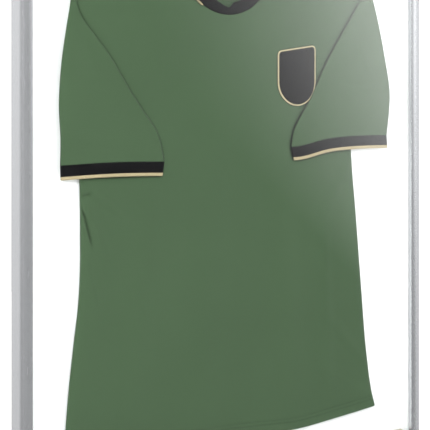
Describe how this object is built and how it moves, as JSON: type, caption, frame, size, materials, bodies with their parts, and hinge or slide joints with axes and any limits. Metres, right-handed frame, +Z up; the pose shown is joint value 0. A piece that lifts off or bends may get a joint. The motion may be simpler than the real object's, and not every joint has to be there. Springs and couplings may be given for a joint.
{
  "type": "jersey display frame",
  "caption": "Deep front-loading aluminium frame with snap-open hinged rails and a clear sheet, showing a folded-sleeve jersey on a white backing.",
  "frame": {"origin": "centre of the frame's base, midway between the wall plane and the front", "axes": "+Z up along the frame's height, -Y towards the front (viewer), +X to the viewer's right"},
  "size_m": [0.6, 0.035, 0.8],
  "materials": {
    "satin_aluminium": "satin anodised, fine lengthwise grain",
    "spring_steel": "bright rolled spring steel",
    "zinc_steel": "zinc plated",
    "clear_acrylic": "clear, polished",
    "white_board": "matt white facing",
    "white_plastic": "smooth matt white",
    "hook_wire": "bright plated wire",
    "jersey_green": "fine polyester knit",
    "jersey_black": "ribbed knit",
    "jersey_cream": "narrow woven piping",
    "badge_black": "dense embroidery",
    "badge_cream": "satin stitched border",
    "caption_black": "matt black",
    "pale_gold": "pale brushed gold"
  },
  "bodies": {
    "case": {"base_rail_bottom": "satin_aluminium", "snap_springs_bottom": "spring_steel", "spacer_bottom": "white_plastic", "base_rail_right": "satin_aluminium", "snap_springs_right": "spring_steel", "spacer_right": "white_plastic", "base_rail_top": "satin_aluminium", "snap_springs_top": "spring_steel", "spacer_top": "white_plastic", "base_rail_left": "satin_aluminium", "snap_springs_left": "spring_steel", "spacer_left": "white_plastic", "corner_key_lower_left": "zinc_steel", "corner_key_lower_right": "zinc_steel", "corner_key_upper_right": "zinc_steel", "corner_key_upper_left": "zinc_steel", "corner_key_screws": "zinc_steel", "acrylic_sheet": "clear_acrylic", "backing_board": "white_board", "hanger_plate_left": "zinc_steel", "hanger_plate_right": "zinc_steel", "hanger_plate_screws": "zinc_steel", "hanger_peg": "white_plastic", "hanger": "white_plastic", "hanger_hook": "hook_wire", "jersey_back": "jersey_green", "jersey_front": "jersey_green", "sleeve_left": "jersey_green", "sleeve_right": "jersey_green", "cuff_left": "jersey_black", "cuff_right": "jersey_black", "cuff_piping_left": "jersey_cream", "cuff_piping_right": "jersey_cream", "collar": "jersey_black", "collar_piping": "jersey_cream", "badge": "badge_black", "badge_border": "badge_cream", "caption_board": "caption_black", "caption_edge": "pale_gold"},
    "cover_bottom": {"cover_rail_bottom": "satin_aluminium"},
    "cover_right": {"cover_rail_right": "satin_aluminium"},
    "cover_top": {"cover_rail_top": "satin_aluminium"},
    "cover_left": {"cover_rail_left": "satin_aluminium"}
  },
  "joints": [
    {"name": "open_cover_bottom", "type": "hinge", "parent": "case", "child": "cover_bottom", "pos_m": [0, -0.01399, 0.0032], "axis": [1, 0, 0], "range_deg": [0, 90]},
    {"name": "open_cover_right", "type": "hinge", "parent": "case", "child": "cover_right", "pos_m": [0.2968, -0.01399, 0.4], "axis": [0, 0, 1], "range_deg": [0, 90]},
    {"name": "open_cover_top", "type": "hinge", "parent": "case", "child": "cover_top", "pos_m": [0, -0.01399, 0.7968], "axis": [-1, 0, 0], "range_deg": [0, 90]},
    {"name": "open_cover_left", "type": "hinge", "parent": "case", "child": "cover_left", "pos_m": [-0.2968, -0.01399, 0.4], "axis": [0, 0, -1], "range_deg": [0, 90]}
  ]
}
